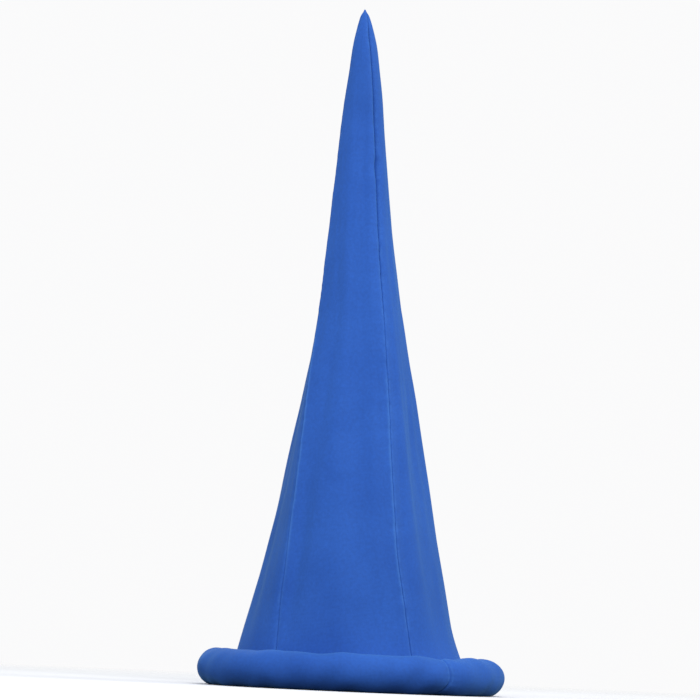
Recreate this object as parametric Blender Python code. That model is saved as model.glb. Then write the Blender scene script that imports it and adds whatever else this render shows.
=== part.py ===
# Elf hat: a tall pointed crown of four sewn gores on a padded roll brim.
# Metres, +Z up. The origin is the middle of the brim on the surface that it
# rests on, and the front of the hat faces -Y.
import math

import bmesh
import bpy
from mathutils import Vector

# ---- driving dimensions -------------------------------------------------
TUBE_RADIUS = 0.0147        # the stuffed roll, 29 mm thick
RING_RADIUS = 0.1108        # middle line of the roll
RING_STEPS = 88             # facets along the roll
TUBE_STEPS = 24             # facets round the roll
RING_Z = TUBE_RADIUS * math.cos(math.pi / 12)   # flat 7.6 mm wide where it rests

WALL = 0.0018               # crown cloth
SEAM_WALL = 0.0032          # cloth with its turned seam allowance
ALLOWANCE = 0.008           # width of a seam allowance
ALLOWANCE_STEP = 0.0025     # width of the allowance's sloped edge
GAP = 0.0003                # kept between neighbouring pieces
CORE = 0.0004               # least inner radius, where the tip is solid cloth

# ---- crown, one row for each level --------------------------------------
# height above the middle of the roll, half of the width seen from the front,
# sideways place of its middle, flatness of the gores (0 round, 1 flat), and
# the turn of the four seams from the front (-Y), positive to the right (+X)
CROWN_COLUMNS = ("height", "half_width", "middle_x", "flat",
                 "front_right", "back_right", "back_left", "front_left")
CROWN = (
    (-0.0037, 0.0957, 0.0000, 0.00, 32, 140, 221, 322),
    (0.0000, 0.0956, 0.0000, 0.00, 32, 140, 221, 322),
    (0.0060, 0.0941, -0.0008, 0.03, 32, 140, 221, 322),
    (0.0150, 0.0912, -0.0024, 0.06, 32, 139, 220, 322),
    (0.0300, 0.0866, -0.0036, 0.12, 32, 138, 218, 321.7),
    (0.0600, 0.0791, -0.0030, 0.20, 29.5, 135, 215, 319.3),
    (0.0900, 0.0721, -0.0027, 0.26, 27, 132, 213, 319),
    (0.1200, 0.0656, -0.0027, 0.29, 27, 130, 212, 317),
    (0.1500, 0.0597, -0.0026, 0.31, 27, 128, 210, 315.2),
    (0.1800, 0.0539, -0.0029, 0.32, 27.5, 127, 209, 311.4),
    (0.2100, 0.0487, -0.0029, 0.32, 28, 127, 208, 306.8),
    (0.2400, 0.0436, -0.0032, 0.32, 28, 128, 208, 299.7),
    (0.2700, 0.0386, -0.0036, 0.32, 28, 128, 208, 292),
    (0.3000, 0.0345, -0.0046, 0.31, 28.5, 129, 209, 287),
    (0.3300, 0.0308, -0.0060, 0.30, 29.5, 129, 210, 285),
    (0.3600, 0.0274, -0.0073, 0.29, 30, 129, 210, 285),
    (0.3900, 0.0244, -0.0081, 0.28, 29.5, 128, 211, 286),
    (0.4200, 0.0216, -0.0085, 0.27, 29, 128, 211, 286),
    (0.4500, 0.0189, -0.0093, 0.26, 28.5, 128, 212, 287),
    (0.4800, 0.0161, -0.0095, 0.25, 27, 128, 212, 288),
    (0.5050, 0.0130, -0.0097, 0.24, 24, 128, 212, 289),
    (0.5270, 0.0099, -0.0102, 0.22, 22, 130, 214, 292),
    (0.5400, 0.0071, -0.0107, 0.20, 24, 133, 218, 298),
    (0.5480, 0.0048, -0.0110, 0.16, 31, 137, 222, 306),
    (0.5540, 0.0027, -0.0113, 0.10, 40, 140, 226, 314),
    (0.5577, 0.0008, -0.0115, 0.00, 40, 140, 226, 314),
)
EXTRA_LEVELS = (0.045, 0.075, 0.105, 0.135)      # finer rows where folds run

# ---- soft folds of the crown, one row each ------------------------------
# turn from the front, lowest and highest level, half width across, depth
# inwards (negative is a swell outwards)
FOLD_COLUMNS = ("turn", "low", "high", "half_width", "depth")
FOLDS = (
    (52, 0.020, 0.170, 0.0120, 0.0011),     # crease beside the front right seam
    (82, 0.030, 0.240, 0.0180, -0.0008),    # swell of the right gore
    (353, 0.020, 0.260, 0.0240, -0.0010),   # swell of the front gore
    (183, 0.020, 0.160, 0.0200, 0.0014),    # hollow low on the back gore
    (262, 0.030, 0.190, 0.0160, 0.0012),    # crease low on the left gore
)

# ---- dents and pinches of the roll, one row each ------------------------
# turn from the front, place round the tube (0 outermost, 90 top, 180
# innermost, 270 lowest), half spans along and round, depth inwards
DENT_COLUMNS = ("turn", "round", "half_along", "half_round", "depth")
DENTS = (
    (39, 20, 5, 130, 0.0008),       # pinch at the cover's joint seam
    (52, 10, 9, 120, -0.0006),      # fuller beyond the joint seam
    (-14, 245, 9, 40, 0.0016),      # dent under the front, left of its middle
    (72, 215, 7, 40, 0.0012),       # puckers inside the right end
    (88, 215, 6, 40, 0.0011),
    (-80, 225, 7, 40, 0.0012),      # puckers inside the left end
    (-140, 20, 14, 120, 0.0005),    # slacker stretches behind
    (150, 30, 16, 120, 0.0006),
)

BLUE = (0.032, 0.102, 0.440, 1.0)


def rows(columns, table):
    return [dict(zip(columns, line)) for line in table]


LEVELS = rows(CROWN_COLUMNS, CROWN)
SEAMS = ("front_right", "back_right", "back_left", "front_left")


def level_at(height):
    """The crown's row at a height, eased between the rows of the table."""
    if height <= LEVELS[0]["height"]:
        return dict(LEVELS[0])
    for i in range(len(LEVELS) - 1):
        a, b = LEVELS[i], LEVELS[i + 1]
        if height <= b["height"]:
            before = LEVELS[max(0, i - 1)]
            after = LEVELS[min(len(LEVELS) - 1, i + 2)]
            span = b["height"] - a["height"]
            t = (height - a["height"]) / span
            out = {}
            for key in CROWN_COLUMNS:
                # cubic through the two rows, with slopes from their neighbours
                m0 = (b[key] - before[key]) / (b["height"] - before["height"]) * span
                m1 = (after[key] - a[key]) / (after["height"] - a["height"]) * span
                out[key] = ((2 * t**3 - 3 * t**2 + 1) * a[key]
                            + (t**3 - 2 * t**2 + t) * m0
                            + (-2 * t**3 + 3 * t**2) * b[key]
                            + (t**3 - t**2) * m1)
            out["height"] = height
            return out
    return dict(LEVELS[-1])


def plain_radius(level, turn):
    """Relative radius of the section: arcs flattened between the seams."""
    marks = [level[name] for name in SEAMS]
    turn = turn % 360.0
    for i in range(4):
        low = marks[i]
        high = marks[(i + 1) % 4] + (360.0 if i == 3 else 0.0)
        here = turn if turn >= marks[0] else turn + 360.0
        if low <= here <= high:
            half = math.radians(high - low) / 2
            away = math.radians(here) - math.radians(low + high) / 2
            chord = math.cos(half) / math.cos(away)
            return 1.0 + level["flat"] * (chord - 1.0)
    return 1.0


def fit(level):
    """Scale and sideways shift that give the section the width seen in front."""
    xs = [plain_radius(level, a) * math.sin(math.radians(a)) for a in range(0, 360, 3)]
    scale = 2.0 * level["half_width"] / (max(xs) - min(xs))
    shift = level["middle_x"] - scale * (max(xs) + min(xs)) / 2
    return scale, shift


def outer_radius(level, scale, turn):
    radius = scale * plain_radius(level, turn)
    for fold in rows(FOLD_COLUMNS, FOLDS):
        low, high = fold["low"], fold["high"]
        along = (level["height"] - low) / (high - low)
        if not 0.0 < along < 1.0:
            continue
        away = (turn - fold["turn"] + 180.0) % 360.0 - 180.0
        across = math.radians(away) * radius / fold["half_width"]
        if abs(across) < 1.0:
            radius -= (fold["depth"] * math.sin(math.pi * along)
                       * (0.5 + 0.5 * math.cos(math.pi * across)))
    return radius


def new_object(name, mesh, collection):
    material = bpy.data.materials.new(name + "_cloth")
    material.use_nodes = True
    shader = material.node_tree.nodes["Principled BSDF"]
    shader.inputs["Base Color"].default_value = BLUE
    shader.inputs["Roughness"].default_value = 0.85
    shader.inputs["Metallic"].default_value = 0.0
    material.diffuse_color = BLUE
    mesh.materials.append(material)
    obj = bpy.data.objects.new(name, mesh)
    collection.objects.link(obj)
    return obj


def make_gore(name, first, last, heights, collection):
    """One panel between two seams, a loft of closed sections of cloth."""
    bm = bmesh.new()
    loops = []
    for height in heights:
        level = level_at(height)
        scale, shift = fit(level)
        low = level[first]
        high = level[last]
        if high < low:
            high += 360.0
        middle = (low + high) / 2
        # widths across the panel, from one seam to the other
        typical = outer_radius(level, scale, middle)
        arc = math.radians(high - low) * typical
        seam = min(ALLOWANCE, 0.16 * arc) / arc
        step = min(ALLOWANCE_STEP, 0.06 * arc) / arc
        inner_parts = [seam + step + (1 - 2 * (seam + step)) * k / 5 for k in range(6)]
        parts = [0.0, seam] + inner_parts + [1 - seam, 1.0]
        walls = [SEAM_WALL] * 2 + [WALL] * 6 + [SEAM_WALL] * 2

        def point(part, drop):
            turn = low + (high - low) * part
            radius = outer_radius(level, scale, turn)
            if drop > 0.0:
                radius = max(radius - drop, min(CORE, 0.6 * radius))
            # keep half of the gap to each seam's plane
            edge = math.degrees(math.asin(min(0.9, GAP / 2 / radius)))
            turn = low + edge + (high - low - 2 * edge) * part
            a = math.radians(turn)
            return Vector((shift + radius * math.sin(a), -radius * math.cos(a),
                           RING_Z + height))

        outer = [point(p, 0.0) for p in parts]
        inner = [point(p, w) for p, w in zip(parts, walls)]
        loops.append([bm.verts.new(p) for p in outer + inner[::-1]])
    count = len(loops[0])
    for a, b in zip(loops, loops[1:]):
        for k in range(count):
            n = (k + 1) % count
            bm.faces.new((a[k], a[n], b[n], b[k]))
    half = count // 2
    for loop, top in ((loops[0], False), (loops[-1], True)):
        for k in range(half - 1):
            quad = (loop[k], loop[k + 1], loop[count - 2 - k], loop[count - 1 - k])
            bm.faces.new(quad if top else quad[::-1])
    bmesh.ops.recalc_face_normals(bm, faces=bm.faces[:])
    mesh = bpy.data.meshes.new(name)
    bm.to_mesh(mesh)
    bm.free()
    mesh.shade_smooth()
    mesh.set_sharp_from_angle(angle=math.radians(40))
    return new_object(name, mesh, collection)


def make_roll(name, collection):
    """The stuffed roll: a torus with its dents, flat where it rests."""
    bpy.ops.mesh.primitive_torus_add(
        location=(0, 0, 0), rotation=(0, 0, 0), major_segments=RING_STEPS,
        minor_segments=TUBE_STEPS, major_radius=RING_RADIUS, minor_radius=TUBE_RADIUS)
    torus = bpy.context.object
    mesh = torus.data.copy()
    mesh.name = name
    bpy.data.objects.remove(torus)
    for vertex in mesh.vertices:
        x, y, z = vertex.co
        turn = math.degrees(math.atan2(x, -y))
        out = math.hypot(x, y) - RING_RADIUS
        around = math.degrees(math.atan2(z, out)) % 360.0
        radius = TUBE_RADIUS
        for dent in rows(DENT_COLUMNS, DENTS):
            along = (turn - dent["turn"] + 180.0) % 360.0 - 180.0
            across = (around - dent["round"] + 180.0) % 360.0 - 180.0
            u, v = along / dent["half_along"], across / dent["half_round"]
            if abs(u) < 1.0 and abs(v) < 1.0:
                radius -= (dent["depth"] * (0.5 + 0.5 * math.cos(math.pi * u))
                           * (0.5 + 0.5 * math.cos(math.pi * v)))
        # a swell never presses on the crown, which is sewn to the inner side
        if 140.0 < around < 230.0:
            radius = min(radius, TUBE_RADIUS)
        a = math.radians(turn)
        reach = RING_RADIUS + radius * math.cos(math.radians(around))
        height = RING_Z + radius * math.sin(math.radians(around))
        if abs((around - 270.0 + 180.0) % 360.0 - 180.0) < 16.0:
            height = 0.0            # the flat ring that stands on the surface
            reach = RING_RADIUS + TUBE_RADIUS * math.cos(math.radians(around))
        vertex.co = (reach * math.sin(a), -reach * math.cos(a), max(0.0, height))
    mesh.materials.clear()
    mesh.shade_smooth()
    return new_object(name, mesh, collection)


def main():
    for obj in list(bpy.data.objects):
        bpy.data.objects.remove(obj)
    collection = bpy.data.collections.new("elf_hat")
    bpy.context.scene.collection.children.link(collection)

    heights = sorted([level["height"] for level in LEVELS] + list(EXTRA_LEVELS))
    make_gore("crown_front", "front_left", "front_right", heights, collection)
    make_gore("crown_right", "front_right", "back_right", heights, collection)
    make_gore("crown_back", "back_right", "back_left", heights, collection)
    make_gore("crown_left", "back_left", "front_left", heights, collection)
    make_roll("brim_roll", collection)


main()
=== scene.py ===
# Elf hat: the looks. Four cloth gores with turned seams, a stuffed roll brim
# whose cover ends in a cut edge under the brim, and their stitches.
import math

import bpy
import numpy as np
from mathutils import Matrix, Vector


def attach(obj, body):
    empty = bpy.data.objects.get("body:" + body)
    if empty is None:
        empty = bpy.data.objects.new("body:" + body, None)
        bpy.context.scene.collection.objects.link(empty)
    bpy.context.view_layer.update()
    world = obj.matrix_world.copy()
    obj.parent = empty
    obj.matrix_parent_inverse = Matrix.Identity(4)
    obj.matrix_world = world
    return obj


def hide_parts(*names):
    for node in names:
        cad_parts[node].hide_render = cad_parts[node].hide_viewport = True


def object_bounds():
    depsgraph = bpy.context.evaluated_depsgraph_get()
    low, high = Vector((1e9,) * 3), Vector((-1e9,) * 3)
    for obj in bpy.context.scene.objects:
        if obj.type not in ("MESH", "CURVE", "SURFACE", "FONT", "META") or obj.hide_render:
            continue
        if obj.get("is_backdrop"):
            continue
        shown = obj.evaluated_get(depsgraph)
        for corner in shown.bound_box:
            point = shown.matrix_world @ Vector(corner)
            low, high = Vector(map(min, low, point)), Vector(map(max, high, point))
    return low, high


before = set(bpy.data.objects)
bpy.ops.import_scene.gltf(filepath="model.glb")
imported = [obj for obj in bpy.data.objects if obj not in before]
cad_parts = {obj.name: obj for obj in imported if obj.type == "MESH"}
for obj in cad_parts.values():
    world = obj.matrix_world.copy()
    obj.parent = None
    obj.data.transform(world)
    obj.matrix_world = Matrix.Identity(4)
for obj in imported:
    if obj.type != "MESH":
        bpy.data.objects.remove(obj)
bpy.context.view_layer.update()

# ---- sizes, as in the frame ---------------------------------------------
TUBE = 0.0147
RING = 0.1108
RING_Z = TUBE * math.cos(math.pi / 12)

CLOTH = 0.0013              # one layer of the foam-backed cloth
FOLDED = 0.0027             # two layers, at the seam allowances
ALLOWANCE = 0.0080
ROLL_OVER = 0.0010          # radius of the cloth's turn into a seam

# crown: height above the roll's middle, half width, sideways place, flatness
# of the gores, and the turns of the seams from the front
COLUMNS = ("height", "half_width", "middle_x", "flat",
           "front_right", "back_right", "back_left", "front_left")
CROWN = (
    (-0.0037, 0.0957, 0.0000, 0.00, 32, 140, 221, 322),
    (0.0000, 0.0956, 0.0000, 0.00, 32, 140, 221, 322),
    (0.0060, 0.0941, -0.0008, 0.03, 32, 140, 221, 322),
    (0.0150, 0.0912, -0.0024, 0.06, 32, 139, 220, 322),
    (0.0300, 0.0866, -0.0036, 0.12, 32, 138, 218, 321.7),
    (0.0600, 0.0791, -0.0030, 0.20, 29.5, 135, 215, 319.3),
    (0.0900, 0.0721, -0.0027, 0.26, 27, 132, 213, 319),
    (0.1200, 0.0656, -0.0027, 0.29, 27, 130, 212, 317),
    (0.1500, 0.0597, -0.0026, 0.31, 27, 128, 210, 315.2),
    (0.1800, 0.0539, -0.0029, 0.32, 27.5, 127, 209, 311.4),
    (0.2100, 0.0487, -0.0029, 0.32, 28, 127, 208, 306.8),
    (0.2400, 0.0436, -0.0032, 0.32, 28, 128, 208, 299.7),
    (0.2700, 0.0386, -0.0036, 0.32, 28, 128, 208, 292),
    (0.3000, 0.0345, -0.0046, 0.31, 28.5, 129, 209, 287),
    (0.3300, 0.0308, -0.0060, 0.30, 29.5, 129, 210, 285),
    (0.3600, 0.0274, -0.0073, 0.29, 31.5, 129, 210, 285),
    (0.3900, 0.0244, -0.0081, 0.28, 32.5, 128, 211, 286),
    (0.4200, 0.0216, -0.0085, 0.27, 33.5, 128, 211, 286),
    (0.4500, 0.0189, -0.0093, 0.26, 33.5, 128, 212, 287),
    (0.4800, 0.0161, -0.0095, 0.25, 31.5, 128, 212, 288),
    (0.5050, 0.0130, -0.0097, 0.24, 28, 128, 212, 289),
    (0.5270, 0.0102, -0.0104, 0.22, 24, 130, 214, 292),
    (0.5400, 0.0074, -0.0109, 0.20, 24, 133, 218, 298),
    (0.5480, 0.0053, -0.0113, 0.16, 31, 137, 222, 306),
    (0.5540, 0.0033, -0.0116, 0.10, 40, 140, 226, 314),
    (0.5577, 0.0011, -0.0117, 0.00, 40, 140, 226, 314),
    (0.5590, 0.0006, -0.0118, 0.00, 40, 140, 226, 314),
)
TOP = CROWN[-1][0]
SEAMS = ("front_right", "back_right", "back_left", "front_left")

# soft folds of the crown: gore seam that it starts from, distance from that
# seam (positive is towards higher turns), levels, half width, depth inwards
FOLD_COLUMNS = ("seam", "away", "low", "high", "half_width", "depth", "lean")
FOLDS = (
    ("front_right", 0.0062, 0.040, 0.235, 0.0048, 0.00040, 0.0010),
    ("front_right", 0.0155, 0.030, 0.230, 0.0080, -0.00080, 0.0040),
    ("front_right", 0.0290, 0.050, 0.180, 0.0085, 0.00075, -0.0030),
    ("front_right", 0.0430, 0.020, 0.140, 0.0085, -0.00060, 0.0060),
    ("front_right", 0.0120, 0.290, 0.420, 0.0050, 0.00050, 0.0010),
    ("front_right", -0.0100, 0.060, 0.260, 0.0070, 0.00040, 0.0010),
    ("front_right", -0.0400, 0.090, 0.330, 0.0150, -0.00060, 0.0060),
    ("front_left", 0.0090, 0.040, 0.250, 0.0060, 0.00050, 0.0000),
    ("front_left", 0.0420, 0.020, 0.210, 0.0160, 0.00060, 0.0080),
    ("front_left", -0.0200, 0.030, 0.190, 0.0110, 0.00080, -0.0050),
    ("front_left", -0.0500, 0.050, 0.240, 0.0140, -0.00080, 0.0040),
    ("back_right", 0.0150, 0.040, 0.230, 0.0080, 0.00070, 0.0030),
    ("back_right", 0.0480, 0.020, 0.200, 0.0150, 0.00100, -0.0040),
    ("back_right", -0.0220, 0.050, 0.260, 0.0100, 0.00070, -0.0030),
    ("back_left", -0.0180, 0.030, 0.210, 0.0090, -0.00060, 0.0040),
    ("back_left", 0.0200, 0.060, 0.250, 0.0090, 0.00070, 0.0030),
)

# broad swells and hollows of the crown, by their turn at both ends, depth
# inwards where the crown is 50 mm in radius
BROAD_COLUMNS = ("low", "high", "turn_low", "turn_high", "half_turn", "depth")
BROADS = (
    (0.075, 0.470, -18, -24, 15, -0.00200),
    (0.060, 0.480, 3, 0, 13, 0.00200),
    (0.110, 0.480, 17, 15, 9, -0.00063),
    (-0.01, 0.190, -10, -13, 24, -0.00231),
    (0.010, 0.150, -35, -33, 10, 0.00147),
    (0.020, 0.380, 41, 44, 9, -0.00178),
    (0.000, 0.330, 58, 62, 12, 0.00189),
    (0.040, 0.300, 84, 88, 16, -0.00168),
    (0.020, 0.260, 108, 112, 12, 0.00147),
    (0.020, 0.240, 158, 166, 18, 0.00231),
    (0.050, 0.330, 188, 182, 14, -0.00168),
    (0.010, 0.200, 236, 240, 16, 0.00189),
    (0.050, 0.320, 262, 258, 13, -0.00168),
    (0.010, 0.220, 292, 286, 13, 0.00168),
)
# dips and rises across the crown: turn, height, half spans, depth inwards
DIP_COLUMNS = ("turn", "height", "half_turn", "half_height", "depth")
DIPS = (
    (-5, 0.463, 62, 0.020, 0.00130),
    (24, 0.533, 30, 0.010, 0.00080),
    (29, 0.418, 20, 0.012, 0.00090),
    (-60, 0.372, 40, 0.022, 0.00050),
    (66, 0.300, 30, 0.020, 0.00045),
    (150, 0.440, 60, 0.022, 0.00060),
    (240, 0.330, 50, 0.026, 0.00070),
    (-12, 0.150, 12, 0.010, 0.00045),
    (-4, 0.136, 9, 0.008, -0.00030),
    (120, 0.210, 26, 0.020, 0.00060),
    (200, 0.150, 30, 0.024, 0.00080),
)
# how the seams are pressed: depth inwards of the cloth before and after each
PRESSED_COLUMNS = ("seam", "low", "high", "before", "after", "reach")
PRESSED = (
    ("front_right", 0.290, 0.600, 0.00200, 0.00180, 0.0016),
    ("front_right", 0.310, 0.500, 0.00090, 0.00090, 0.0026),
    ("front_right", 0.402, 0.430, 0.00080, 0.00080, 0.0024),
    ("front_right", 0.230, 0.340, 0.00025, 0.00025, 0.0018),
    ("front_right", 0.030, 0.240, -0.00035, 0.00005, 0.0018),
    ("front_right", -0.02, 0.060, 0.00030, 0.00025, 0.0020),
    ("front_left", 0.080, 0.290, 0.00080, -0.00050, 0.0020),
    ("front_left", -0.01, 0.095, 0.00090, 0.00060, 0.0027),
    ("back_right", 0.030, 0.260, 0.00035, -0.00040, 0.0020),
    ("back_right", 0.270, 0.520, 0.00050, 0.00040, 0.0020),
    ("back_left", 0.030, 0.330, -0.00040, 0.00040, 0.0020),
    ("back_left", 0.330, 0.530, 0.00040, 0.00045, 0.0020),
)

# dents and pinches of the roll: turn from the front, place round the tube
# (0 outermost, 90 top, 180 innermost, 270 lowest), half spans, depth inwards
DENT_COLUMNS = ("turn", "round", "half_along", "half_round", "depth")
DENTS = (
    (36, 10, 7, 140, 0.0007),
    (52, 10, 11, 130, -0.0005),
    (-14, 250, 8, 42, 0.0016),
    (-140, 20, 14, 120, 0.0005),
    (150, 30, 16, 120, 0.0006),
    (-62, 20, 16, 110, 0.0003),
    (4, 20, 18, 100, -0.0002),
    (100, 350, 12, 110, 0.0004),
)
EDGE_AT = 246.0             # the cover's cut edge, round the tube
SOFTNESS = 4.4              # how much softer the stuffing is than the held cover
STITCHED = 9.0              # the row of stitches beside it, from the edge
JOINT_AT = 39.0             # the cover's joint seam, along the roll

rng = np.random.RandomState(5)


# ---- helpers --------------------------------------------------------------
def smooth(t):
    t = np.clip(t, 0.0, 1.0)
    return t * t * (3.0 - 2.0 * t)


def bump(t):
    """1 at 0, easing to 0 at -1 and 1."""
    return np.where(np.abs(t) < 1.0, 0.5 + 0.5 * np.cos(np.pi * np.clip(t, -1, 1)), 0.0)


class Waves:
    """Smooth noise in two directions, from seeded sine waves; about -1 to 1."""

    def __init__(self, seed, long_u, long_v, count=14):
        r = np.random.RandomState(seed)
        turn = r.uniform(0, 2 * np.pi, count)
        size = r.uniform(0.6, 1.7, count)
        self.u = 2 * np.pi * np.cos(turn) * size / long_u
        self.v = 2 * np.pi * np.sin(turn) * size / long_v
        self.phase = r.uniform(0, 2 * np.pi, count)
        self.weight = 1.0 / size / math.sqrt(count)

    def __call__(self, u, v):
        total = 0.0
        for a, b, p, w in zip(self.u, self.v, self.phase, self.weight):
            total = total + w * np.sin(a * u + b * v + p)
        return total


def ring_noise(seed, low, high):
    """Noise along a ring that closes on itself, from whole numbers of waves."""
    r = np.random.RandomState(seed)
    counts = np.arange(low, high)
    phases = r.uniform(0, 2 * np.pi, len(counts))
    weights = r.uniform(0.4, 1.0, len(counts)) / math.sqrt(len(counts))

    def at(turn):
        a = np.radians(turn)
        return sum(w * np.sin(n * a + p) for n, p, w in zip(counts, phases, weights))
    return at


def mesh_object(name, points, quads, materials, smooth_angle=None, face_material=None):
    mesh = bpy.data.meshes.new(name)
    mesh.from_pydata(points.tolist(), [], quads.tolist())
    for material in materials:
        mesh.materials.append(material)
    if face_material is not None:
        mesh.polygons.foreach_set("material_index", face_material.astype(np.int32))
    mesh.validate()
    mesh.shade_smooth()
    if smooth_angle:
        mesh.set_sharp_from_angle(angle=math.radians(smooth_angle))
    obj = bpy.data.objects.new(name, mesh)
    bpy.context.scene.collection.objects.link(obj)
    return obj


def add_values(obj, name, values):
    attribute = obj.data.attributes.new(name, "FLOAT", "POINT")
    attribute.data.foreach_set("value", values.astype(np.float32).ravel())


def add_map(obj, u, v):
    """The cloth's own flat directions, in metres, kept as a vector on each point."""
    attribute = obj.data.attributes.new("cloth_map", "FLOAT_VECTOR", "POINT")
    flat = np.stack([u.ravel(), v.ravel(), np.zeros(u.size)], 1).astype(np.float32)
    attribute.data.foreach_set("vector", flat.ravel())


# ---- materials --------------------------------------------------------------
def cloth_material(name, dark, light, inside, edge_light, grain):
    """Smooth foam-backed cloth: fine knit, soft sheen, faint mottling, paler
    along worn seams with a painted highlight on the seam ridges, a painted
    shade darker towards the tip, and its duller back."""
    material = bpy.data.materials.new(name)
    material.use_nodes = True
    nt = material.node_tree
    nodes, links = nt.nodes, nt.links
    shader = nodes["Principled BSDF"]

    def node(kind, **settings):
        n = nodes.new(kind)
        for key, value in settings.items():
            setattr(n, key, value)
        return n

    def math_node(operation, a, b=None, clamp=False):
        n = node("ShaderNodeMath", operation=operation, use_clamp=clamp)
        for slot, value in ((0, a), (1, b)):
            if value is None:
                continue
            if isinstance(value, (int, float)):
                n.inputs[slot].default_value = value
            else:
                links.new(value, n.inputs[slot])
        return n.outputs[0]

    def mix(factor, a, b, blend="MIX"):
        n = node("ShaderNodeMix", data_type="RGBA", blend_type=blend)
        for slot, value in ((0, factor), (6, a), (7, b)):
            if isinstance(value, (int, float)):
                n.inputs[slot].default_value = value
            elif isinstance(value, tuple):
                n.inputs[slot].default_value = (*value, 1.0)
            else:
                links.new(value, n.inputs[slot])
        return n.outputs[2]

    place = node("ShaderNodeTexCoord").outputs["Object"]
    flat = node("ShaderNodeAttribute", attribute_name="cloth_map").outputs["Vector"]

    # faint mottling of the dye, large and small
    large = node("ShaderNodeTexNoise")
    large.inputs["Scale"].default_value = 16.0
    large.inputs["Detail"].default_value = 3.0
    large.inputs["Roughness"].default_value = 0.55
    links.new(place, large.inputs["Vector"])
    small = node("ShaderNodeTexNoise")
    small.inputs["Scale"].default_value = 420.0
    small.inputs["Detail"].default_value = 4.0
    small.inputs["Roughness"].default_value = 0.65
    links.new(place, small.inputs["Vector"])
    spread = node("ShaderNodeMapRange")
    spread.inputs["From Min"].default_value = 0.32
    spread.inputs["From Max"].default_value = 0.68
    links.new(large.outputs["Fac"], spread.inputs["Value"])
    colour = mix(spread.outputs["Result"], dark, light)
    fine = node("ShaderNodeMapRange")
    fine.inputs["From Min"].default_value = 0.30
    fine.inputs["From Max"].default_value = 0.70
    fine.inputs["To Min"].default_value = 0.90
    fine.inputs["To Max"].default_value = 1.08
    links.new(small.outputs["Fac"], fine.inputs["Value"])

    # knit: ribs of loops across the cloth, under a millimetre apart
    split = node("ShaderNodeSeparateXYZ")
    links.new(flat, split.inputs[0])
    across = math_node("MULTIPLY", split.outputs["X"], 2 * math.pi / grain)
    along = math_node("MULTIPLY", split.outputs["Y"], 2 * math.pi / (grain * 1.25))
    ribs = math_node("SINE", across)
    loops = math_node("SINE", math_node("ADD", along, math_node("MULTIPLY", ribs, 0.9)))
    knit = math_node("ADD", math_node("MULTIPLY", ribs, 0.5), math_node("MULTIPLY", loops, 0.5))
    thread = node("ShaderNodeMapRange")
    thread.inputs["From Min"].default_value = -1.0
    thread.inputs["From Max"].default_value = 1.0
    thread.inputs["To Min"].default_value = 0.93
    thread.inputs["To Max"].default_value = 1.05
    links.new(knit, thread.inputs["Value"])
    shade = math_node("MULTIPLY", fine.outputs["Result"], thread.outputs["Result"])
    grey = node("ShaderNodeCombineColor")
    for k in range(3):
        links.new(shade, grey.inputs[k])
    colour = mix(1.0, colour, grey.outputs[0], "MULTIPLY")

    # worn, paler ridges beside the seams, with a painted highlight where the ridges catch light, and the dull back
    # of the cloth
    wear_and_highlight = node("ShaderNodeAttribute", attribute_name="wear_and_highlight").outputs["Fac"]
    broken = math_node("MULTIPLY", wear_and_highlight, math_node("ADD", small.outputs["Fac"], 0.25), True)
    colour = mix(math_node("MULTIPLY", broken, 0.55), colour, edge_light)
    # painted shade: the colour darkens towards the tip, patchy with the large mottling
    held = node("ShaderNodeAttribute", attribute_name="held").outputs["Fac"]
    uneven = math_node("MULTIPLY", held, math_node("ADD", large.outputs["Fac"], 0.5), True)
    colour = mix(uneven, colour, tuple(0.5 * c for c in dark))
    back = node("ShaderNodeAttribute", attribute_name="back").outputs["Fac"]
    colour = mix(back, colour, inside)
    links.new(colour, shader.inputs["Base Color"])

    rough = node("ShaderNodeMapRange")
    rough.inputs["From Min"].default_value = 0.3
    rough.inputs["From Max"].default_value = 0.7
    rough.inputs["To Min"].default_value = 0.66
    rough.inputs["To Max"].default_value = 0.82
    links.new(small.outputs["Fac"], rough.inputs["Value"])
    links.new(rough.outputs["Result"], shader.inputs["Roughness"])

    height = math_node("ADD", math_node("MULTIPLY", knit, 0.55),
                       math_node("MULTIPLY", small.outputs["Fac"], 1.1))
    relief = node("ShaderNodeBump")
    relief.inputs["Strength"].default_value = 0.35
    relief.inputs["Distance"].default_value = 0.00012
    links.new(height, relief.inputs["Height"])
    links.new(relief.outputs["Normal"], shader.inputs["Normal"])

    shader.inputs["Metallic"].default_value = 0.0
    shader.inputs["Specular IOR Level"].default_value = 0.08
    shader.inputs["Sheen Weight"].default_value = 0.18
    shader.inputs["Sheen Roughness"].default_value = 0.50
    shader.inputs["Sheen Tint"].default_value = (0.28, 0.72, 1.0, 1.0)
    return material


def thread_material(name, colour, paler):
    """Twisted sewing thread."""
    material = bpy.data.materials.new(name)
    material.use_nodes = True
    nt = material.node_tree
    shader = nt.nodes["Principled BSDF"]
    place = nt.nodes.new("ShaderNodeTexCoord")
    noise = nt.nodes.new("ShaderNodeTexNoise")
    noise.inputs["Scale"].default_value = 1800.0
    noise.inputs["Detail"].default_value = 2.0
    nt.links.new(place.outputs["Object"], noise.inputs["Vector"])
    ramp = nt.nodes.new("ShaderNodeMix")
    ramp.data_type = "RGBA"
    ramp.inputs[6].default_value = (*colour, 1.0)
    ramp.inputs[7].default_value = (*paler, 1.0)
    nt.links.new(noise.outputs["Fac"], ramp.inputs[0])
    nt.links.new(ramp.outputs[2], shader.inputs["Base Color"])
    relief = nt.nodes.new("ShaderNodeBump")
    relief.inputs["Strength"].default_value = 0.5
    relief.inputs["Distance"].default_value = 0.0001
    nt.links.new(noise.outputs["Fac"], relief.inputs["Height"])
    nt.links.new(relief.outputs["Normal"], shader.inputs["Normal"])
    shader.inputs["Roughness"].default_value = 0.55
    shader.inputs["Sheen Weight"].default_value = 0.2
    return material


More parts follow.
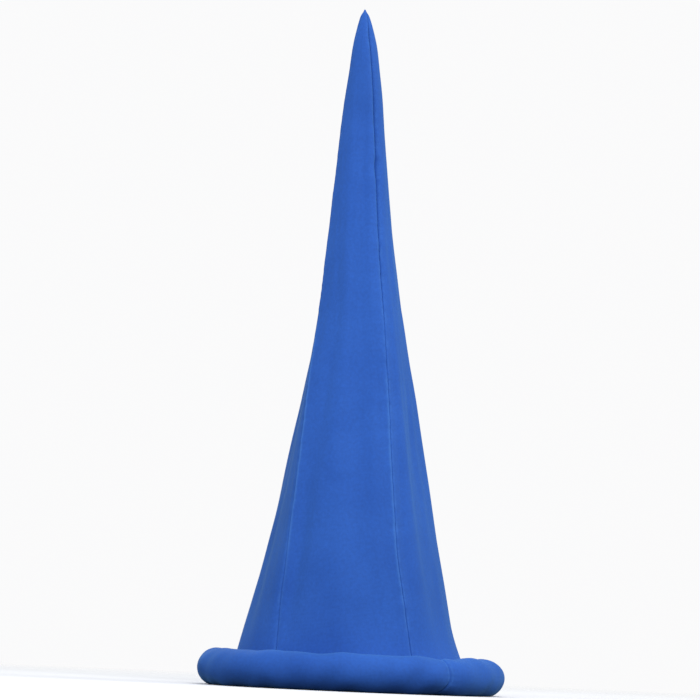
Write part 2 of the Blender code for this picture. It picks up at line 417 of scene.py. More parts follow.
BLUE_DARK = (0.0230, 0.0910, 0.3960)
BLUE_LIGHT = (0.0280, 0.1075, 0.4450)
# PALE: the paler colour of worn seam ridges, which also carries their painted highlight
PALE = (0.0550, 0.1750, 0.5300)
BACK = (0.0180, 0.0440, 0.1550)
crown_cloth = cloth_material("crown_cloth", BLUE_DARK, BLUE_LIGHT, BACK, PALE, 0.00085)
roll_cloth = cloth_material("roll_cloth", BLUE_DARK, BLUE_LIGHT, BACK, PALE, 0.00085)
edge_cloth = cloth_material("cut_edge", (0.100, 0.150, 0.340), (0.150, 0.210, 0.410),
                            (0.12, 0.18, 0.36), (0.20, 0.27, 0.50), 0.00085)
blue_thread = thread_material("blue_thread", (0.016, 0.075, 0.340), (0.030, 0.120, 0.440))
pale_thread = thread_material("pale_thread", (0.024, 0.095, 0.380), (0.050, 0.150, 0.480))


# ---- crown --------------------------------------------------------------
def crown_levels(heights):
    """Every column of the crown's table at these heights, eased."""
    table = np.array(CROWN)
    known = table[:, 0]
    out = {}
    for k, name in enumerate(COLUMNS):
        y = table[:, k]
        slope = np.gradient(y, known)
        i = np.clip(np.searchsorted(known, heights, "right") - 1, 0, len(known) - 2)
        span = known[i + 1] - known[i]
        t = (heights - known[i]) / span
        value = ((2 * t**3 - 3 * t**2 + 1) * y[i] + (t**3 - 2 * t**2 + t) * slope[i] * span
                 + (3 * t**2 - 2 * t**3) * y[i + 1] + (t**3 - t**2) * slope[i + 1] * span)
        out[name] = value
    # even out the small steps between rows, less and less towards both ends
    for name in COLUMNS[2:]:
        dense = np.arange(-0.0037, TOP, 0.0005)
        line = np.interp(dense, heights, out[name])
        kernel = np.exp(-0.5 * (np.arange(-60, 61) * 0.0005 / 0.010) ** 2)
        kernel /= kernel.sum()
        soft = np.convolve(np.pad(line, 60, "reflect", reflect_type="odd"), kernel, "valid")
        part = smooth((dense + 0.0037) / 0.03) * smooth((TOP - dense) / 0.03)
        out[name] = np.interp(heights, dense, line + (soft - line) * part)
    out["height"] = heights
    return out


def section(levels, low, high, turn):
    """Relative radius between two seams: an arc flattened towards its chord."""
    half = np.radians(high - low) / 2
    away = np.radians(turn - (low + high) / 2)
    return 1.0 + levels["flat"][:, None] * (np.cos(half) / np.cos(away) - 1.0)


def seam_lines(levels):
    marks = [levels[name][:, None] for name in SEAMS]
    return marks + [marks[0] + 360.0]


HEIGHTS = np.unique(np.concatenate([
    [-0.0037, -0.0034, -0.0029], np.arange(-0.0020, 0.5300, 0.00165),
    np.arange(0.5300, 0.5555, 0.0009), np.arange(0.5556, TOP, 0.0004), [TOP]]).round(6))
LEVELS = crown_levels(HEIGHTS)
MARKS = seam_lines(LEVELS)
around = np.arange(0.0, 360.0, 1.0)[None, :]
xs = np.zeros((len(HEIGHTS), 360))
for g in range(4):
    for wrap in (0.0, 360.0):
        here = (around + wrap >= MARKS[g]) & (around + wrap <= MARKS[g + 1])
        rel = section(LEVELS, MARKS[g], MARKS[g + 1], around + wrap)
        xs = np.where(here, rel * np.sin(np.radians(around)), xs)
SCALE = 2 * LEVELS["half_width"] / (xs.max(1) - xs.min(1))
SHIFT = LEVELS["middle_x"] - SCALE * (xs.max(1) + xs.min(1)) / 2

swell = Waves(11, 0.055, 0.150)
ripple = Waves(12, 0.022, 0.060)
pucker_notes = {name: Waves(30 + k, 1.0, 0.011, 10) for k, name in enumerate(SEAMS)}
pucker_slow = {name: Waves(40 + k, 1.0, 0.060, 6) for k, name in enumerate(SEAMS)}

# distances from a seam where the cloth's section has points, in metres
ZONE = np.array([0.0, 0.00003, 0.00012, 0.0003, 0.0006, 0.00105, 0.0016, 0.0024, 0.0035,
                 0.0048, 0.0062, 0.0073, 0.00785, 0.0082, 0.0087, 0.0098])
MIDDLE = 36


def make_gore(name, gore):
    first, last = SEAMS[gore], SEAMS[(gore + 1) % 4]
    low, high = MARKS[gore], MARKS[gore + 1]
    height = HEIGHTS[:, None]
    rel_mid = section(LEVELS, low, high, (low + high) / 2)
    arc = np.radians(high - low) * SCALE[:, None] * (0.35 + 0.65 * rel_mid)
    squeeze = np.minimum(1.0, 0.32 * arc / ZONE[-1])
    follow = smooth((ZONE - 0.0035) / 0.0035) * smooth((0.0098 - ZONE) / 0.0011)
    frays = [0.00040 * pucker_slow[seam](side, height) + 0.00022 * pucker_notes[seam](side, height)
             for seam, side in ((first, 0.3), (last, 0.7))]
    zone_a = (ZONE + frays[0] * follow) * squeeze
    zone_b = (ZONE + frays[1] * follow) * squeeze
    inner = np.linspace(0, 1, MIDDLE + 2)[None, 1:-1]
    middle = zone_a[:, -1:] + (arc - zone_a[:, -1:] - zone_b[:, -1:]) * inner
    near_a = np.concatenate([zone_a, middle, arc - zone_b[:, ::-1]], 1)  # from first seam
    near_b = arc - near_a                                                # from last seam
    nearest = np.minimum(near_a, near_b)
    turn = low + (high - low) * near_a / arc
    radius = SCALE[:, None] * section(LEVELS, low, high, turn)
    fade = np.minimum(1.0, SCALE[:, None] / 0.035)          # less relief where slender
    foot = smooth((height + 0.002) / 0.045)                 # none where it is sewn on
    roomy = smooth((TOP - height) / 0.05)

    # soft folds, swells and ripples of the whole panel
    depth = np.zeros_like(radius)
    for line in FOLDS:
        fold = dict(zip(FOLD_COLUMNS, line))
        if fold["seam"] == first and fold["away"] > 0:
            off = near_a - fold["away"]
        elif fold["seam"] == last and fold["away"] < 0:
            off = -(near_b + fold["away"])
        else:
            continue
        up = (height - fold["low"]) / (fold["high"] - fold["low"])
        off = off - fold["lean"] * (up - 0.5)
        depth += foot * fold["depth"] * np.sin(np.pi * np.clip(up, 0, 1)) ** 0.8 * bump(off / fold["half_width"])
    proud = np.zeros_like(radius)
    size = SCALE[:, None] / 0.050
    for line in BROADS:
        b = dict(zip(BROAD_COLUMNS, line))
        up = (height - b["low"]) / (b["high"] - b["low"])
        centre = b["turn_low"] + (b["turn_high"] - b["turn_low"]) * up
        off = (turn - centre + 180.0) % 360.0 - 180.0
        depth += foot * b["depth"] * size * np.sin(np.pi * np.clip(up, 0, 1)) ** 0.7 * bump(off / b["half_turn"])
    for line in DIPS:
        d = dict(zip(DIP_COLUMNS, line))
        off = (turn - d["turn"] + 180.0) % 360.0 - 180.0
        depth += foot * d["depth"] * bump(off / d["half_turn"]) * bump((height - d["height"]) / d["half_height"])
    for line in PRESSED:
        p = dict(zip(PRESSED_COLUMNS, line))
        up = (height - p["low"]) / (p["high"] - p["low"])
        part = np.sin(np.pi * np.clip(up, 0, 1)) ** 0.5 * np.minimum(1.0, SCALE[:, None] / 0.010)
        part = part * smooth((height + 0.001) / 0.016)
        for seam, near, press in ((first, near_a, p["after"]), (last, near_b, p["before"])):
            if p["seam"] == seam:
                depth += press * part * np.exp(-(near / p["reach"]) ** 2)
                proud += np.clip(-press / 0.0005, 0, 1) * part * np.exp(-((near - 0.0009) / 0.0007) ** 2)
    flat_x = np.radians(turn) * 0.08
    seam_free = smooth(nearest / 0.012)
    depth += seam_free * fade * foot * 0.00058 * swell(flat_x + gore, height)
    depth += seam_free * fade * foot * 0.00017 * ripple(flat_x + 3 * gore, height)

    # little puckers along each seam, alike on both sides of it
    for seam, near in ((first, near_a), (last, near_b)):
        strong = 0.6 + 0.4 * pucker_slow[seam](0.0, height)
        wave = pucker_notes[seam](0.0, height)
        depth += fade * foot * roomy * 0.00030 * strong * wave * np.exp(-near / 0.0055)
        # the allowances under the cloth lift it a little
        depth -= fade * 0.00012 * smooth((ALLOWANCE - near) / 0.002) * smooth(near / 0.003)

    # the turn of the cloth into the seam
    turned = ROLL_OVER * np.minimum(1.0, SCALE[:, None] / 0.008)
    inward = np.clip(1.0 - nearest / turned, 0.0, 1.0)
    roll = turned * (1.0 - np.sqrt(1.0 - inward**2))
    outer = radius - depth - roll

    # the inner face, with the allowance turned back on it
    fray = np.where(near_a < near_b, frays[0], frays[1])
    edge = (ALLOWANCE + 0.000025 + fray) * squeeze
    doubled = smooth((edge - nearest) / 0.00028 + 0.5)
    lifted = doubled * 0.00030 * smooth((nearest / squeeze - 0.004) / 0.004) * (1 + pucker_slow[last](0.5, height))
    thick = CLOTH + (FOLDED - CLOTH) * doubled + lifted
    inside = radius - depth - thick
    inside = np.maximum(inside, np.minimum(0.0004, 0.4 * radius))
    inside = np.minimum(inside, outer - 0.0002 * np.minimum(1, SCALE[:, None] / 0.004))

    # round the bottom edge
    tuck = np.clip((-0.0026 - height) / 0.0011, 0, 1)
    outer = outer - 0.00045 * tuck**2
    inside = inside + 0.00045 * tuck**2

    def place(r):
        a = np.radians(turn)
        return np.stack([SHIFT[:, None] + r * np.sin(a), -r * np.cos(a),
                         RING_Z + np.broadcast_to(height, r.shape)], -1)

    ring = np.concatenate([place(outer), place(inside)[:, ::-1]], 1)
    rows, count = ring.shape[:2]
    index = np.arange(rows * count).reshape(rows, count)
    step = np.roll(index, -1, 1)
    sides = np.stack([index[:-1], step[:-1], step[1:], index[1:]], -1).reshape(-1, 4)
    half = count // 2
    k = np.arange(half - 1)
    bottom = np.stack([index[0][count - 1 - k], index[0][count - 2 - k], index[0][k + 1], index[0][k]], -1)
    top = np.stack([index[-1][k], index[-1][k + 1], index[-1][count - 2 - k], index[-1][count - 1 - k]], -1)
    obj = mesh_object(name + "_cloth", ring.reshape(-1, 3), np.concatenate([sides, bottom, top]),
                      [crown_cloth], 65)
    both = lambda a, b: np.concatenate([a, b[:, ::-1]], 1)
    high_z = np.broadcast_to(height, near_a.shape)
    add_map(obj, both(near_a, near_a), both(high_z, high_z))
    # paler seam ridges and the proud side of pressed seams: partly wear, partly a painted highlight where they
    # catch light
    ridge = np.exp(-((nearest - 0.0012) / 0.0010) ** 2) * smooth(nearest / 0.0008)
    hem = np.exp(-((height - 0.004) / 0.006) ** 2)
    wear_and_highlight = np.clip(0.75 * ridge * (0.6 + 0.4 * pucker_notes[first](0.2, height)) + 0.15 * hem + 1.7 * proud, 0, 1.7)
    add_values(obj, "wear_and_highlight", both(wear_and_highlight, 0.4 * doubled * np.exp(-((edge - nearest) / 0.0008) ** 2)))
    add_values(obj, "back", both(np.zeros_like(wear_and_highlight), np.ones_like(wear_and_highlight)))
    # painted shade: the colour is darker towards the tip, most above 0.41 m
    tip_shade = 0.17 * smooth((height - 0.41) / 0.07) + 0.05 * np.exp(-((height - 0.487) / 0.018) ** 2)
    tip_shade = tip_shade * (1.0 - 0.25 * smooth((height - 0.51) / 0.04)) + 0 * wear_and_highlight
    add_values(obj, "held", both(tip_shade, 0 * tip_shade))

    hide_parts(name)
    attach(obj, "root")
    # the flat cut: the panel's width at the base and its length, with allowances
    widths = arc[:, 0] + 2 * ALLOWANCE
    slant = np.hypot(np.diff(HEIGHTS), np.diff(SCALE))
    area = float((0.5 * (widths[1:] + widths[:-1]) * slant).sum())
    cut = (round(float(widths.max()), 3), round(float(slant.sum()), 3))
    return obj, cut, area


# ---- roll -----------------------------------------------------------------
def torus_points(turn, place, radius):
    """Points of the roll at turns and places round the tube, in degrees."""
    a, b = np.radians(turn), np.radians(place)
    reach = RING + radius * np.cos(b)
    return np.stack([reach * np.sin(a), -reach * np.cos(a), RING_Z + radius * np.sin(b)], -1)


def ring_faces(count_a, count_b):
    index = np.arange(count_a * count_b).reshape(count_a, count_b)
    right, up = np.roll(index, -1, 0), np.roll(index, -1, 1)
    both = np.roll(right, -1, 1)
    return np.stack([index, right, both, up], -1).reshape(-1, 4)


def slack_of(turn, place):
    """Where the cover has cloth to spare: inside and under, most at both ends."""
    ends = np.maximum(bump((turn - 80) / 34), bump((turn + 84) / 34))
    ends = np.maximum(ends, 0.45 * bump((turn - 180) / 40))
    ends = np.maximum(ends, 0.45 * bump((turn + 180) / 40))
    under = bump((place - 232) / 62)
    return under * (0.22 + 0.78 * ends)


def lumps(seed, turn, place, low=4, high=22, round_most=2):
    """Smooth unevenness that closes on itself both ways; about -1 to 1."""
    r = np.random.RandomState(seed)
    a, b = np.radians(turn), np.radians(place)
    total = 0.0
    for _ in range(26):
        n, m = r.randint(low, high + 1), r.randint(-round_most, round_most + 1)
        total = total + r.uniform(0.4, 1.0) * np.sin(n * a + m * b + r.uniform(0, 2 * np.pi))
    return total / 3.4


def swollen_cover(count_a=216, count_b=36):
    """Inflates the cover as cloth at twenty times its size, held along its
    seams, and returns how far its grid of points moved in or out."""
    turn = np.arange(count_a) * 360.0 / count_a
    place = np.arange(count_b) * 360.0 / count_b
    turn, place = np.meshgrid(np.where(turn > 180, turn - 360, turn), place, indexing="ij")
    big = 20.0
    start = torus_points(turn, place, TUBE - 0.0008) * big
    cover = mesh_object("cover_start", start.reshape(-1, 3), ring_faces(count_a, count_b), [])
    hold = cover.vertex_groups.new(name="hold")
    loose = cover.vertex_groups.new(name="loose")
    outside = np.cos(np.radians(place - 20)) > -0.6
    held = np.maximum(bump((place - 192) / 14), 0.9 * bump((place - EDGE_AT) / 9))
    held = np.maximum(held, 0.9 * bump((turn - JOINT_AT) / 2.6) * outside)
    spare = np.clip(0.42 + 0.46 * lumps(81, turn, place) + 0.5 * slack_of(turn, place), 0, 1)
    for i, (h, e) in enumerate(zip(held.ravel(), spare.ravel())):
        if h > 0.01:
            hold.add([i], float(h), "REPLACE")
        if e > 0.01:
            loose.add([i], float(e), "REPLACE")
    cloth = cover.modifiers.new("cloth", "CLOTH")
    s = cloth.settings
    s.quality = 8
    s.mass = 0.004
    s.tension_stiffness = s.compression_stiffness = 6.0
    s.shear_stiffness = 3.0
    s.bending_stiffness = 0.5
    s.tension_damping = s.compression_damping = s.shear_damping = 0.6
    s.use_pressure = True
    s.uniform_pressure_force = 14.0
    s.vertex_group_mass = "hold"
    s.pin_stiffness = 1.0
    s.vertex_group_shrink = "loose"
    s.shrink_min = 0.0
    s.shrink_max = -0.20
    s.effector_weights.gravity = 0.0
    cloth.collision_settings.use_collision = False
    cloth.point_cache.frame_start = 1
    cloth.point_cache.frame_end = 30
    scene = bpy.context.scene
    for number in range(1, 25):
        scene.frame_set(number)
    grown = cover.evaluated_get(bpy.context.evaluated_depsgraph_get()).to_mesh()
    end = np.zeros(count_a * count_b * 3)
    grown.vertices.foreach_get("co", end)
    end = end.reshape(count_a, count_b, 3)
    bpy.data.objects.remove(cover)
    scene.frame_set(1)
    moved = (end - start) / big
    a, b = np.radians(turn), np.radians(place)
    out = moved[..., 0] * np.sin(a) - moved[..., 1] * np.cos(a)
    normal = out * np.cos(b) + moved[..., 2] * np.sin(b)
    for axis in (0, 1, 0, 1):          # the grid's own finest ripple is not cloth
        normal = 0.25 * np.roll(normal, 1, axis) + 0.5 * normal + 0.25 * np.roll(normal, -1, axis)
    relief = normal - np.median(normal, axis=0)[None, :]
    print("cover swell mm: mean %.2f, uneven by %.2f, least %.2f, most %.2f" % (
        1000 * normal.mean(), 1000 * relief.std(), 1000 * relief.min(), 1000 * relief.max()))
    return 0.0009 * np.tanh(relief * SOFTNESS / 0.0009)


def resample(grid, u, v):
    """Grid values at fractional places, smoothly; the grid closes both ways."""
    def weights(t):
        return (-0.5 * t + t**2 - 0.5 * t**3, 1 - 2.5 * t**2 + 1.5 * t**3,
                0.5 * t + 2 * t**2 - 1.5 * t**3, -0.5 * t**2 + 0.5 * t**3)
    i, j = np.floor(u).astype(int), np.floor(v).astype(int)
    wi, wj = weights(u - i), weights(v - j)
    rows = sum(w[:, None] * grid[(i + k - 1) % grid.shape[0]] for k, w in enumerate(wi))
    return sum(w[None, :] * rows[:, (j + k - 1) % grid.shape[1]] for k, w in enumerate(wj))


edge_wander = ring_noise(51, 3, 26)
edge_ripple = ring_noise(52, 40, 110)
joint_wander = ring_noise(53, 2, 9)
roll_soft = [ring_noise(60 + k, 2, 15) for k in range(3)]
ring_fine = [ring_noise(70 + k, 60, 130) for k in range(3)]
ring_gathers = ring_noise(75, 30, 78)


def edge_place(turn):
    """Where the cover's cut edge runs, round the tube."""
    away = (turn + 180.0) % 360.0 - 180.0
    return (EDGE_AT + 1.6 * edge_wander(turn) + 0.5 * edge_ripple(turn)
            + 5.0 * bump((away + 14) / 7) - 5.0 * bump((away - 78) / 9)
            - 4.0 * bump((away + 86) / 9))


def roll_surface(turn, place, swell):
    """Points of the finished cover at a grid of turns and places."""
    away = (turn + 180.0) % 360.0 - 180.0
    sewn = np.minimum(1.0, 1.7 * bump((place - 190) / 42))
    radius = TUBE + swell * (1 - sewn)
    for line in DENTS:
        d = dict(zip(DENT_COLUMNS, line))
        u = ((turn - d["turn"] + 180.0) % 360.0 - 180.0) / d["half_along"]
        v = ((place - d["round"] + 180.0) % 360.0 - 180.0) / d["half_round"]
        radius -= d["depth"] * bump(u) * bump(v)
    # slow unevenness of the stuffing
    b = np.radians(place)
    radius += 0.00034 * (roll_soft[0](turn) * np.cos(b) + roll_soft[1](turn) * np.sin(b)
                         + 0.6 * roll_soft[2](turn) * np.cos(2 * b))
    radius += 0.00038 * (1 - sewn) * lumps(83, turn, place, 9, 34, 3)
    # the joint seam across the roll, drawn in and puckered
    seam = JOINT_AT - 5.0 * smooth((np.abs((place - 300 + 180) % 360 - 180) < 60)
                                   * (1 - ((place - 250 + 360) % 360) / 110.0))
    off = ((turn - seam + 180.0) % 360.0 - 180.0) * math.radians(1.0) * RING
    shown = smooth((100.0 - np.abs((place - 20 + 180) % 360 - 180)) / 20.0 + 1.0)
    radius -= shown * (0.00135 * np.exp(-(off / 0.0009) ** 2) + 0.00075 * np.exp(-(off / 0.0055) ** 2))
    fan = np.sin(np.radians(place) * 17 + 1.3) * 0.5 + np.sin(np.radians(place) * 29) * 0.3
    radius -= shown * 0.00020 * fan * np.exp(-np.abs(off) / 0.0050) * (1 - np.exp(-(off / 0.0012) ** 2))
    # the cover's cut edge lies on the inner band, which is drawn in below it
    edge = edge_place(turn)
    gap = place - edge
    band = smooth((gap + 26.0) / 24.0) * (gap < 0)
    step = smooth(gap / 1.0 + 0.5)
    drawn = (gap > -60) & (gap < 40)
    radius -= np.where(drawn, 0.00125 * band * (1 - step), 0.0)
    lip = np.where(drawn, np.exp(-((gap - 2.4) / 2.4) ** 2) * step, 0.0)
    channel = np.where(drawn, np.exp(-((gap - STITCHED) / 2.6) ** 2), 0.0)
    radius += 0.00045 * lip - 0.00035 * channel
    # gathers that run from the cut edge, most at both ends of the ring
    ends = np.maximum(bump((away - 80) / 24), bump((away + 86) / 20))
    strength = 0.10 + 0.90 * ends
    run_in = np.where(gap < 0, np.exp(gap / 20.0), np.exp(-gap / 9.0)) * drawn
    folds = ring_fine[0](turn + 0.10 * gap) + 0.6 * ring_fine[1](turn - 0.13 * gap)
    radius -= 0.00070 * strength * run_in * folds * smooth(np.abs(gap) / 1.5)
    # small gathers where the cover is drawn in to the crown's foot
    drawn_in = np.exp(-((place - 158) / 26.0) ** 2)
    radius -= drawn_in * (0.00016 * ring_fine[2](turn) + 0.00034 * ring_gathers(turn + 0.06 * place))
    # nothing swells into the crown's foot, which the cover closes on
    radius = np.minimum(radius, TUBE + 0.0012 * (1 - sewn))
    touching = (RING - 0.09572) / np.maximum(0.3, -np.cos(b))
    clasp = smooth((place - 166) / 10) * smooth((204 - place) / 9)
    radius += clasp * (np.maximum(touching, TUBE) - radius)
    points = torus_points(turn, place, radius)
    # pressed flat where it stands
    z = points[..., 2]
    soft = 0.00035
    points[..., 2] = np.where(z < soft, np.maximum(0.0, soft * (1.0 - 0.5 * (1.0 - np.clip(z / soft, -1, 1)))), z)
    reach = np.hypot(points[..., 0], points[..., 1])
    most = RING + TUBE + 0.0012
    points[..., :2] *= np.minimum(1.0, most / reach)[..., None]
    return points, gap, off, shown, ends


def make_roll():
    count_a = 760
    coarse = swollen_cover()
    turn = np.arange(count_a) * 360.0 / count_a
    # places round the tube, closer together about the cut edge
    spacing = np.concatenate([np.arange(-126, -20, 1.0), np.arange(-20, 20, 1.0), np.arange(20, 234, 1.0)])
    density = 1.0 / 4.6 + 1.15 * np.exp(-((spacing + 0.6) / 4.2) ** 2) + 0.22 * np.exp(-(spacing / 17.0) ** 2)
    total = np.concatenate([[0], np.cumsum(density)])
    marks = np.concatenate([spacing, [234.0]])
    number = int(round(total[-1]))
    offsets = np.interp(np.arange(number) * total[-1] / number, total, marks)
    turn_g, off_g = np.meshgrid(turn, offsets, indexing="ij")
    # the grid's lines follow the wandering edge near it and run straight far off
    follow = bump(np.clip(off_g / 110.0, -1, 1))
    place_g = (off_g + EDGE_AT) + (edge_place(turn_g) - EDGE_AT) * follow
    even = resample(coarse, turn * coarse.shape[0] / 360.0, np.arange(720) * coarse.shape[1] / 720.0)
    rows = np.arange(count_a)[:, None]
    at = (place_g % 360.0) * 2.0
    low = np.floor(at).astype(int)
    part = at - low
    swell = even[rows, low % 720] * (1 - part) + even[rows, (low + 1) % 720] * part
    points, gap, off, shown, ends = roll_surface(turn_g, place_g, swell)
    faces = ring_faces(count_a, number)
    middle = gap.ravel()[faces].mean(1)
    cut = ((middle > -0.85) & (middle < 3.4)).astype(int)
    obj = mesh_object("brim_roll_cover", points.reshape(-1, 3), faces,
                      [roll_cloth, edge_cloth], None, cut)
    add_map(obj, np.radians(turn_g) * RING, np.radians(place_g) * TUBE)
    # paler ridges beside the joint seam, partly wear and partly a painted highlight, and the pale lip beside the
    # cut edge
    wear_and_highlight = (0.65 * shown * np.exp(-((np.abs(off) - 0.0017) / 0.0009) ** 2)
            + 0.55 * np.exp(-((gap - 3.0) / 2.2) ** 2))
    add_values(obj, "wear_and_highlight", np.clip(wear_and_highlight, 0, 1))
    add_values(obj, "back", np.zeros_like(wear_and_highlight))
    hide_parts("brim_roll")
    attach(obj, "root")
    return obj, coarse


# ---- stitches ---------------------------------------------------------------
def thread_pieces(name, starts, ends, lifts, thickness, material):
    """Short stitches: bowed runs of thread from start to end, sunk at both."""
    ring = 6
    runs = 5
    angle = np.arange(ring) * 2 * np.pi / ring
    points, faces = [], []
    for start, end, lift in zip(starts, ends, lifts):
        base = len(points)
        along = (end - start) / np.linalg.norm(end - start)
        up = lift / np.linalg.norm(lift)
        side = np.cross(along, up)
        for k in range(runs):
            t = k / (runs - 1)
            middle = start + (end - start) * t + lift * math.sin(math.pi * t)
            size = thickness * (0.65 + 0.35 * math.sin(math.pi * t))
            for c, s in zip(np.cos(angle), np.sin(angle)):
                points.append(middle + size * (c * side + s * up))
        for k in range(runs - 1):
            for j in range(ring):
                n = (j + 1) % ring
                faces.append([base + k * ring + j, base + (k + 1) * ring + j,
                              base + (k + 1) * ring + n, base + k * ring + n])
        first = [base + j for j in range(ring)]
        last = [base + (runs - 1) * ring + j for j in range(ring)]
        faces.append([first[0], first[1], first[2], first[3]])
        faces.append([first[0], first[3], first[4], first[5]])
        faces.append([last[3], last[2], last[1], last[0]])
        faces.append([last[5], last[4], last[3], last[0]])
    obj = mesh_object(name, np.array(points), np.array(faces), [material], 50)
    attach(obj, "root")
    return obj


def ring_normal(turn, place):
    a, b = np.radians(turn), np.radians(place)
    return np.stack([np.cos(b) * np.sin(a), -np.cos(b) * np.cos(a), np.sin(b)], -1)


gores = [make_gore(n, g) for n, g in (
    ("crown_right", 0), ("crown_back", 1), ("crown_left", 2), ("crown_front", 3))]
for node_name, (obj, cut, area) in zip(("right", "back", "left", "front"), gores):
    print("gore", node_name, "cut", cut, "area", round(area, 4))
roll, coarse = make_roll()


def on_roll(turn, place, off=0.0):
    """A point of the finished roll, from its own surface function."""
    t = np.array([[turn]], float)
    p = np.array([[place]], float)
    m = resample(coarse, np.array([turn % 360.0]) * coarse.shape[0] / 360.0,
                 np.array([place % 360.0]) * coarse.shape[1] / 360.0)
    point = roll_surface(t, p, m)[0][0, 0]
    return point + off * ring_normal(turn, place)


# slanting stitches that fasten the crown's foot to the roll, inside
starts, ends, lifts = [], [], []
count = 148
for k in range(count):
    turn = 360.0 * (k + 0.22 * rng.uniform(-1, 1)) / count
    a = math.radians(turn)
    top = np.array([(0.0957 - CLOTH + 0.0001) * math.sin(a), -(0.0957 - CLOTH + 0.0001) * math.cos(a),
                    RING_Z - 0.0016 + 0.0004 * rng.uniform(-1, 1)])
    low = on_roll(turn + 1.0, 209.0 + 1.5 * rng.uniform(-1, 1), -0.0001)
    starts.append(top)
    ends.append(low)
    lifts.append(np.array([-math.sin(a), math.cos(a), -0.9]) * 0.00115)
thread_pieces("crown_foot_stitches", starts, ends, lifts, 0.00030, blue_thread)

# a row of stitches beside the cover's cut edge
starts, ends, lifts = [], [], []
count = 214
for k in range(count):
    turn = 360.0 * (k + 0.10 * rng.uniform(-1, 1)) / count
    long = 360.0 / count * (0.66 + 0.05 * rng.uniform(-1, 1))
    row = [float(edge_place(np.array(t))) + STITCHED + 0.5 * rng.uniform(-1, 1) for t in (turn, turn + long)]
    starts.append(on_roll(turn, row[0], -0.00012))
    ends.append(on_roll(turn + long, row[1], -0.00012))
    lifts.append(ring_normal(turn, row[0]) * 0.00030)
stitches = thread_pieces("cover_edge_stitches", starts, ends, lifts, 0.00024, pale_thread)
for vertex in stitches.data.vertices:
    vertex.co.z = max(vertex.co.z, 0.00003)

# ---- stage ------------------------------------------------------------------
floor_mesh = bpy.data.meshes.new("floor")
sides = 96
floor_points = [(0.0, 0.0, 0.0)] + [
    (3.2 * math.cos(2 * math.pi * k / sides), 3.2 * math.sin(2 * math.pi * k / sides), 0.0)
    for k in range(sides)]
floor_mesh.from_pydata(floor_points, [], [(0, 1 + k, 1 + (k + 1) % sides) for k in range(sides)])
floor = bpy.data.objects.new("floor", floor_mesh)
bpy.context.scene.collection.objects.link(floor)
floor.location.z = -0.0002
floor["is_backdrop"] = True
pale = bpy.data.materials.new("pale_floor")
pale.use_nodes = True
nt = pale.node_tree
shader = nt.nodes["Principled BSDF"]
seen = nt.nodes.new("ShaderNodeLightPath")
tone = nt.nodes.new("ShaderNodeMix")
tone.data_type = "RGBA"
tone.inputs[6].default_value = (0.11, 0.11, 0.12, 1.0)      # what it throws back up
tone.inputs[7].default_value = (0.86, 0.86, 0.87, 1.0)      # what is seen of it
nt.links.new(seen.outputs["Is Camera Ray"], tone.inputs[0])
nt.links.new(tone.outputs[2], shader.inputs["Base Color"])
shader.inputs["Roughness"].default_value = 0.9
shader.inputs["Specular IOR Level"].default_value = 0.1
where = nt.nodes.new("ShaderNodeTexCoord")
far = nt.nodes.new("ShaderNodeVectorMath")
far.operation = "LENGTH"
nt.links.new(where.outputs["Object"], far.inputs[0])
fade = nt.nodes.new("ShaderNodeMapRange")
fade.interpolation_type = "SMOOTHSTEP"
fade.inputs["From Min"].default_value = 0.35
fade.inputs["From Max"].default_value = 1.5
nt.links.new(far.outputs["Value"], fade.inputs["Value"])
clear = nt.nodes.new("ShaderNodeBsdfTransparent")
blend = nt.nodes.new("ShaderNodeMixShader")
nt.links.new(fade.outputs["Result"], blend.inputs[0])
nt.links.new(shader.outputs[0], blend.inputs[1])
nt.links.new(clear.outputs[0], blend.inputs[2])
nt.links.new(blend.outputs[0], nt.nodes["Material Output"].inputs["Surface"])
floor_mesh.materials.append(pale)

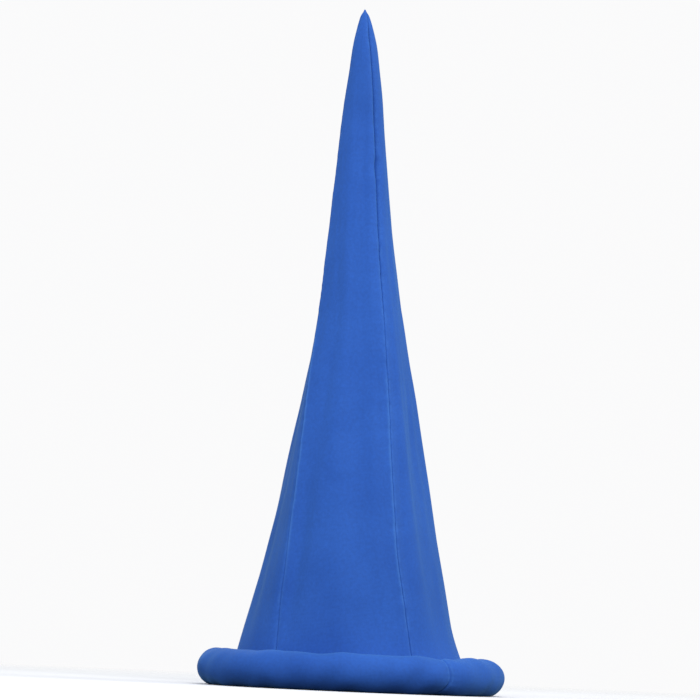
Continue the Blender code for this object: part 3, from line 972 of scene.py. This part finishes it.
world = bpy.data.worlds.new("studio")
bpy.context.scene.world = world
world.use_nodes = True
nt = world.node_tree
sky = nt.nodes["Background"]
sky.inputs["Color"].default_value = (0.93, 0.96, 1.0, 1.0)
sky.inputs["Strength"].default_value = 0.52
plain = nt.nodes.new("ShaderNodeBackground")
plain.inputs["Color"].default_value = (0.96, 0.96, 0.965, 1.0)
plain.inputs["Strength"].default_value = 1.0
path = nt.nodes.new("ShaderNodeLightPath")
choose = nt.nodes.new("ShaderNodeMixShader")
nt.links.new(path.outputs["Is Camera Ray"], choose.inputs[0])
nt.links.new(sky.outputs[0], choose.inputs[1])
nt.links.new(plain.outputs[0], choose.inputs[2])
nt.links.new(choose.outputs[0], nt.nodes["World Output"].inputs["Surface"])


def lamp(name, place, aim, size, power, colour=(1.0, 1.0, 1.0)):
    light = bpy.data.lights.new(name, "AREA")
    light.shape = "RECTANGLE"
    light.size, light.size_y = size
    light.energy = power
    light.color = colour
    obj = bpy.data.objects.new(name, light)
    obj.location = place
    obj.rotation_euler = (Vector(aim) - Vector(place)).to_track_quat("-Z", "Y").to_euler()
    bpy.context.scene.collection.objects.link(obj)
    return obj


lamp("key", (0.40, -1.35, 1.45), (0.0, 0.0, 0.36), (1.0, 0.8), 23.0)
lamp("side", (1.7, -0.1, 0.9), (0.0, 0.0, 0.30), (0.7, 1.1), 14.0)
lamp("fill", (-1.4, -1.1, 1.0), (0.0, 0.0, 0.36), (1.1, 1.1), 12.5, (0.92, 0.98, 1.05))
lamp("rear", (-0.4, 1.6, 1.3), (0.0, 0.0, 0.3), (1.2, 1.0), 8.0)

# ---- camera -------------------------------------------------------------------
FOCAL = 2181.0              # picture widths of 700 for a lens this long
DISTANCE = 1.80
EYE = 0.022
ROLL = math.radians(2.5)    # the picture leans clockwise
PITCH = math.radians(8.15)
PAN = math.radians(0.38)    # towards -X
camera_data = bpy.data.cameras.new("camera")
camera_data.sensor_width = 36.0
camera_data.lens = 36.0 * FOCAL / 700.0
camera = bpy.data.objects.new("camera", camera_data)
bpy.context.scene.collection.objects.link(camera)
camera.location = (0.0, -DISTANCE, EYE)
look = Matrix.Rotation(PAN, 4, "Z") @ Matrix.Rotation(math.pi / 2 + PITCH, 4, "X") @ Matrix.Rotation(ROLL, 4, "Z")
camera.rotation_euler = look.to_euler()
bpy.context.scene.camera = camera
bpy.context.scene.view_settings.view_transform = "Standard"
bpy.context.scene.view_settings.look = "None"

low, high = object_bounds()
